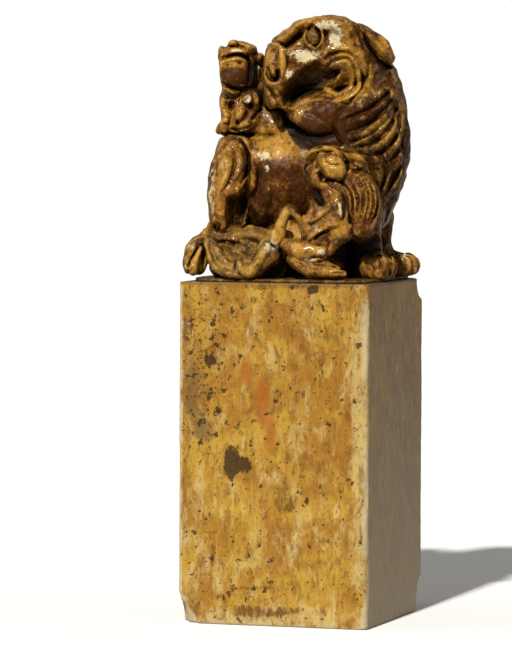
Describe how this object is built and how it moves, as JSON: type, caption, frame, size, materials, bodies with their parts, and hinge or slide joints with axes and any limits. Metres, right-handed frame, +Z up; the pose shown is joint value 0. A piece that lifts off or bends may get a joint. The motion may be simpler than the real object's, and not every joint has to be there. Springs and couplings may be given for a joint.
{
  "type": "seal stamp",
  "caption": "Square soapstone seal with a bordered fret on its printing face and a carved lion with cubs as the grip.",
  "frame": {"origin": "middle of the printing face at the foot of the square shaft", "axes": "+Z up the shaft to the carving, +X along the standing lion towards its chest, -Y towards the side with the climbing cub"},
  "size_m": [0.0336, 0.032, 0.0995],
  "materials": {
    "stone_seal_face": "worn, faint red paste in the grooves",
    "stone_shaft": "polished, mottled amber with dark specks",
    "stone_ledge": "smoothed, dull",
    "stone_lion": "polished, dark in the hollows",
    "stone_mane": "polished, dark in the hollows",
    "stone_tail": "polished, dark in the hollows",
    "stone_cub": "polished, dark in the hollows",
    "stone_eye": "polished"
  },
  "bodies": {
    "root": {"seal_face": "stone_seal_face", "seal_shaft": "stone_shaft", "ground_ledge": "stone_ledge", "rider_ear_left": "stone_cub", "rider_ear_right": "stone_cub", "rider_arm_left": "stone_cub", "rider_arm_right": "stone_cub", "rider_leg_left": "stone_cub", "rider_leg_right": "stone_cub", "rider_head": "stone_cub", "rider_body": "stone_cub", "climber_ear": "stone_cub", "climber_head": "stone_cub", "climber_mane": "stone_cub", "climber_arm": "stone_cub", "climber_foot": "stone_cub", "climber_haunch": "stone_cub", "climber_body": "stone_cub", "tail_curl": "stone_tail", "tail_fan": "stone_tail", "lion_eye_near": "stone_eye", "lion_eye_far": "stone_eye", "lion_ear_near": "stone_lion", "lion_ear_far": "stone_lion", "lion_head": "stone_lion", "lion_lower_jaw": "stone_lion", "lion_mane": "stone_mane", "lion_forepaw_near": "stone_lion", "lion_forepaw_far": "stone_lion", "lion_hindpaw_near": "stone_lion", "lion_hindpaw_far": "stone_lion", "lion_haunch_near": "stone_lion", "lion_haunch_far": "stone_lion", "lion_foreleg_near": "stone_lion", "lion_foreleg_far": "stone_lion", "tail_root": "stone_tail", "lion_body": "stone_lion", "belly_web": "stone_lion"}
  },
  "joints": []
}
